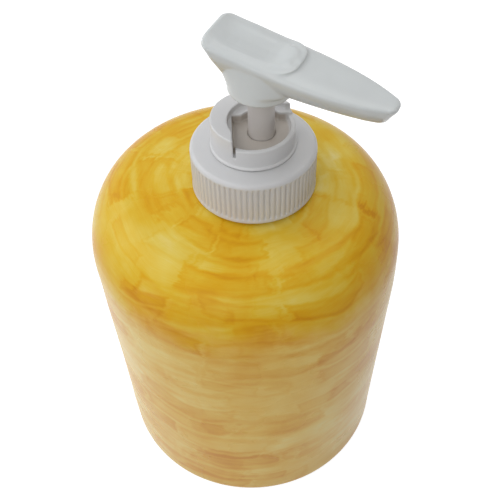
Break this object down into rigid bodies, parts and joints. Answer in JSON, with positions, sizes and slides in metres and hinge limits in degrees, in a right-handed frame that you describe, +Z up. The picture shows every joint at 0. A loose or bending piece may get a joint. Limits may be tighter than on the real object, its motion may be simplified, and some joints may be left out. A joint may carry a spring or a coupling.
{
  "type": "ceramic soap dispenser",
  "caption": "Round-shouldered glazed ceramic bottle with a screw-on lotion pump: ribbed closure, stepped guide collar, sprung stem and a slim spouted head that presses down and swivels.",
  "frame": {"origin": "centre of the bottle's foot, on the surface it stands on", "axes": "+Z up; +X towards the spout's tip at rest; +Y completes a right-handed frame"},
  "size_m": [0.0852, 0.0852, 0.1452],
  "materials": {
    "glaze": "glossy yellow brushed glaze",
    "white_plastic": "moulded, satin gloss",
    "clear_plastic": "natural, slightly milky",
    "foam": "soft foam sheet",
    "steel": "bright stainless"
  },
  "bodies": {
    "bottle": {"bottle": "glaze", "neck_insert": "white_plastic"},
    "pump": {"pump_housing": "clear_plastic", "guide_collar": "white_plastic", "neck_gasket": "foam", "ball_retainer": "white_plastic", "dip_tube": "clear_plastic", "return_spring": "steel"},
    "closure": {"closure": "white_plastic"},
    "foot_valve": {"inlet_ball": "steel"},
    "plunger": {"piston": "clear_plastic"},
    "head": {"actuator": "white_plastic", "stem": "white_plastic", "piston_rod": "white_plastic"},
    "head_valve": {"outlet_ball": "steel"}
  },
  "joints": [
    {"name": "pump_lift", "type": "slide", "parent": "bottle", "child": "pump", "axis": [0, 0, 1], "range_m": [0, 0.115]},
    {"name": "closure_turn", "type": "hinge", "parent": "pump", "child": "closure", "pos_m": [0.0026, 0, 0.108], "axis": [0, 0, 1], "continuous": true},
    {"name": "foot_valve_lift", "type": "slide", "parent": "pump", "child": "foot_valve", "axis": [0, 0, 1], "range_m": [0, 0.0012]},
    {"name": "head_press", "type": "slide", "parent": "pump", "child": "plunger", "axis": [0, 0, -1], "range_m": [0, 0.0101], "stiffness_N_per_m": 500, "springref_m": -0.008, "deforming": ["return_spring"]},
    {"name": "head_swivel", "type": "hinge", "parent": "plunger", "child": "head", "pos_m": [0.0049, 0, 0.12], "axis": [0, 0, 1], "continuous": true},
    {"name": "head_valve_lift", "type": "slide", "parent": "head", "child": "head_valve", "axis": [0, 0, 1], "range_m": [0, 0.001]}
  ]
}
